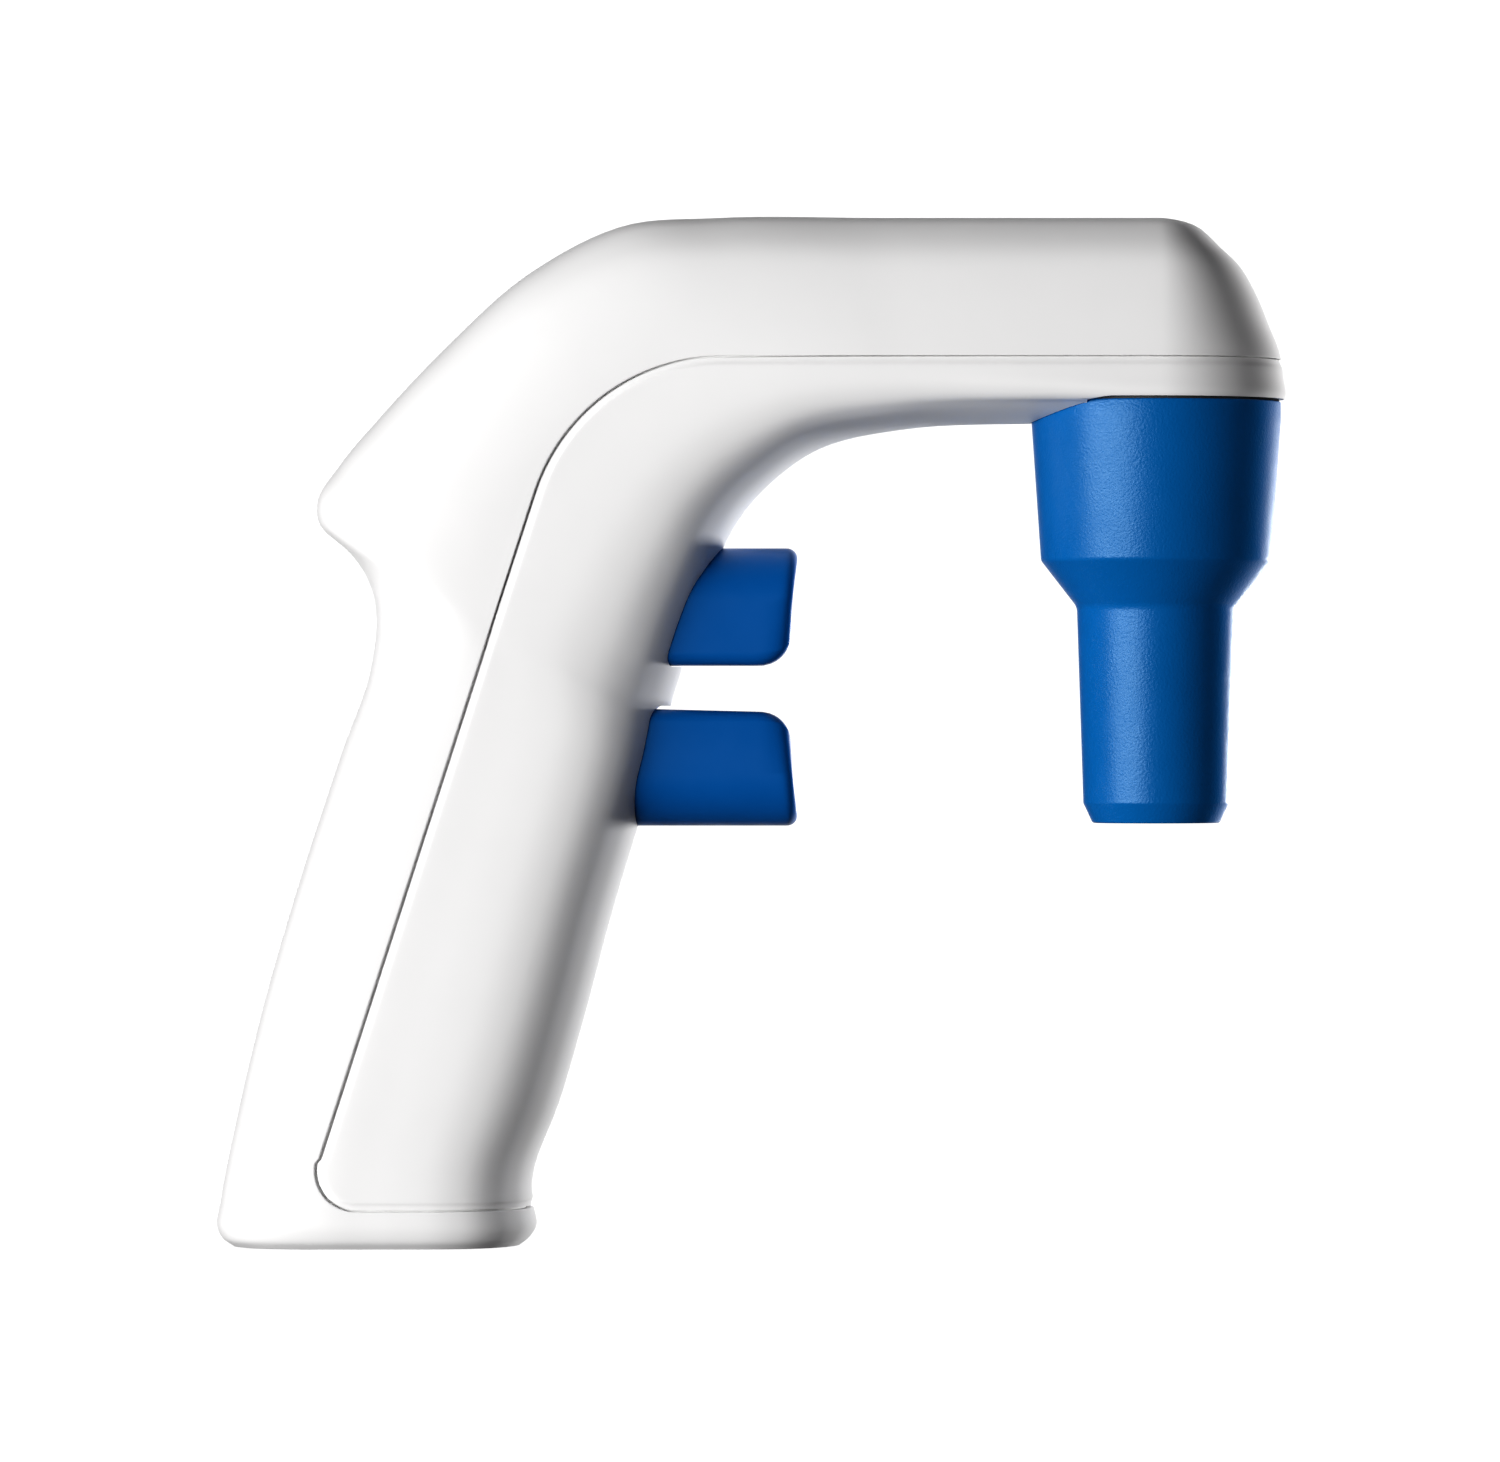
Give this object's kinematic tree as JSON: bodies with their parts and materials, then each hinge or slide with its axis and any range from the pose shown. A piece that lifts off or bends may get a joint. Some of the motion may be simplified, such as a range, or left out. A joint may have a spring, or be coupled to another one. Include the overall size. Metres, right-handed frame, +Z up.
{
  "type": "motorised pipette controller",
  "caption": "Gun-shaped motorised pipette controller with a white housing, blue triggers under the arm and a blue screw-off nose cone that grips a pipette.",
  "frame": {"origin": "centre of the nose cone's mouth, where the pipette enters its bore", "axes": "+Z up, against the pipette; +X from the grip towards the nose; Y across the housing, which is symmetric about Y = 0"},
  "size_m": [0.1602, 0.039, 0.154],
  "materials": {
    "white_shell": "satin moulded plastic, fine texture",
    "trigger_blue": "satin dark blue moulded plastic",
    "cone_blue": "spark-eroded blue moulded plastic",
    "silicone": "translucent grey silicone",
    "filter_plastic": "white moulded plastic",
    "grey_plastic": "plain grey moulded plastic",
    "pump_plastic": "dark grey glass-filled plastic",
    "black_plastic": "black moulded plastic",
    "black_rubber": "black nitrile rubber",
    "steel": "bright stainless steel",
    "motor_can": "zinc-plated steel can",
    "magnet_metal": "nickel-plated magnet",
    "board_green": "green solder mask",
    "hose_silicone": "clear silicone hose",
    "cell_wrap": "shrink-wrapped cell",
    "contact_brass": "gold-plated contact",
    "light_green": "translucent light pipe"
  },
  "bodies": {
    "root": {"rear_housing": "white_shell", "front_housing": "white_shell", "aspirate_spring": "steel", "dispense_spring": "steel", "sensor_board": "board_green", "valve_block": "grey_plastic", "valve_block_screws": "steel", "nose_socket": "grey_plastic", "filter_seal": "black_rubber", "nose_socket_screws": "steel", "pump_bracket": "black_plastic", "pump_motor": "motor_can", "pump_frame": "pump_plastic", "pump_diaphragm": "black_rubber", "pump_valve_plate": "grey_plastic", "pump_head": "pump_plastic", "pump_screws": "steel", "suction_hose": "hose_silicone", "pressure_hose": "hose_silicone", "nose_hose": "hose_silicone", "battery_cell": "cell_wrap", "battery_holder": "black_plastic", "battery_contacts": "contact_brass", "main_board": "board_green", "board_components": "black_plastic", "charge_socket": "black_plastic", "status_light": "light_green", "housing_screws": "steel"},
    "aspirate_button": {"aspirate_trigger": "trigger_blue", "aspirate_valve_stem": "steel", "aspirate_stem_seals": "black_rubber", "aspirate_magnet": "magnet_metal"},
    "dispense_button": {"dispense_trigger": "trigger_blue", "dispense_valve_stem": "steel", "dispense_stem_seals": "black_rubber", "dispense_magnet": "magnet_metal"},
    "adapter_stack": {"pipette_adapter": "silicone", "membrane_filter": "filter_plastic"},
    "nose": {"nose_cone": "cone_blue"},
    "crank": {"motor_shaft": "steel"},
    "wobbler": {"wobble_plate": "filter_plastic"}
  },
  "joints": [
    {"name": "aspirate_press", "type": "slide", "parent": "root", "child": "aspirate_button", "axis": [-1, 0, 0], "range_m": [0, 0.006], "stiffness_N_per_m": 300, "springref_m": -0.002, "deforming": ["aspirate_spring"]},
    {"name": "dispense_press", "type": "slide", "parent": "root", "child": "dispense_button", "axis": [-1, 0, 0], "range_m": [0, 0.006], "stiffness_N_per_m": 300, "springref_m": -0.002, "deforming": ["dispense_spring"]},
    {"name": "nose_turn", "type": "hinge", "parent": "adapter_stack", "child": "nose", "pos_m": [0, 0, 0], "axis": [0, 0, -1], "range_deg": [0, 360]},
    {"name": "nose_drop", "type": "slide", "parent": "root", "child": "adapter_stack", "axis": [0, 0, -1], "range_m": [0, 0.004]},
    {"name": "crank_spin", "type": "hinge", "parent": "root", "child": "crank", "pos_m": [-0.05, 0, 0.0776], "axis": [1, 0, 0], "continuous": true},
    {"name": "wobble_nod", "type": "hinge", "parent": "crank", "child": "wobbler", "pos_m": [-0.0565, 0, 0.0776], "axis": [0.9925, 0, 0.1219], "continuous": true}
  ],
  "couplings": [
    {"joint": "nose_turn", "follows": "nose_drop", "rad_per_m": 1570.8},
    {"joint": "wobble_nod", "follows": "crank_spin", "ratio": -1}
  ]
}
